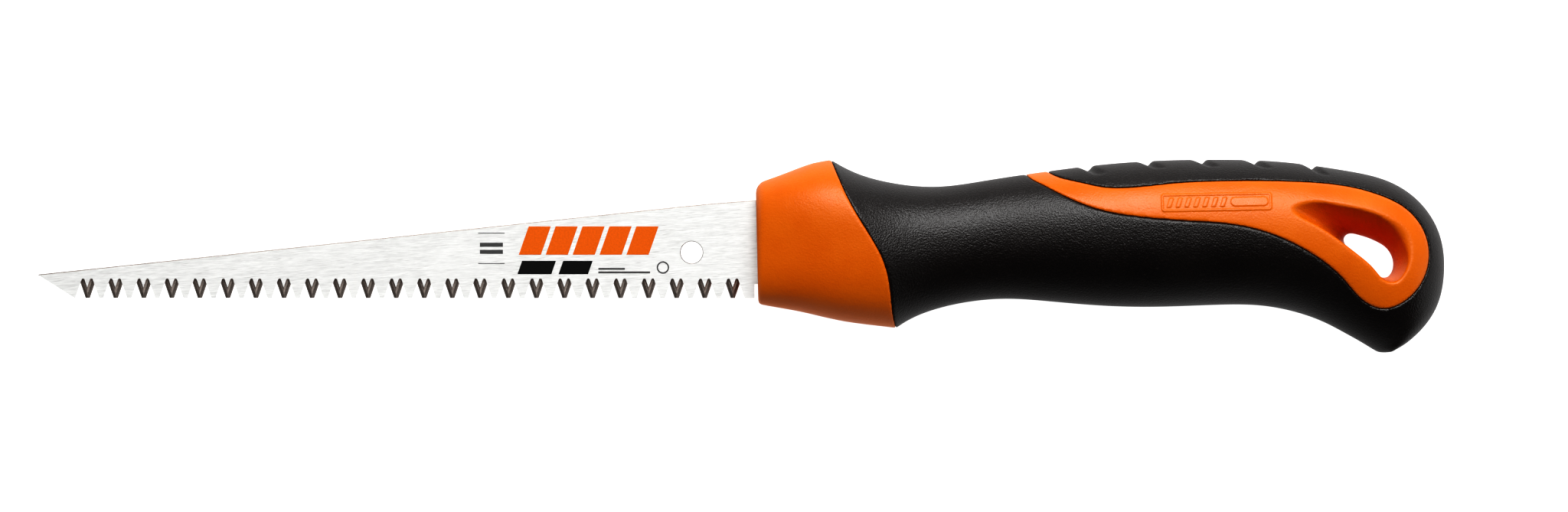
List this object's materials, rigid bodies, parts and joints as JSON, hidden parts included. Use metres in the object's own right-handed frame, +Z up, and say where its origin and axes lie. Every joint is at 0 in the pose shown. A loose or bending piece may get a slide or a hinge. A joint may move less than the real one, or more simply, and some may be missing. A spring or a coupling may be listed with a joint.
{
  "type": "drywall saw",
  "caption": "Jab saw for plasterboard: tapered pointed blade with coarse ground teeth, fixed in a two-material pistol-curved handle with a hanging eye.",
  "frame": {"origin": "on the table under the middle of the saw, which lies on its side", "axes": "+X from the blade's point to the handle's butt, +Y from the teeth to the back, +Z up through the thickness"},
  "size_m": [0.3183, 0.0439, 0.032],
  "materials": {
    "steel": "lengthwise brushed, clear",
    "hard_plastic": "moulded, semi-gloss orange",
    "soft_plastic": "fine matt grain, black"
  },
  "bodies": {
    "root": {"blade": "steel", "handle_core": "hard_plastic", "soft_grip": "soft_plastic"}
  },
  "joints": []
}
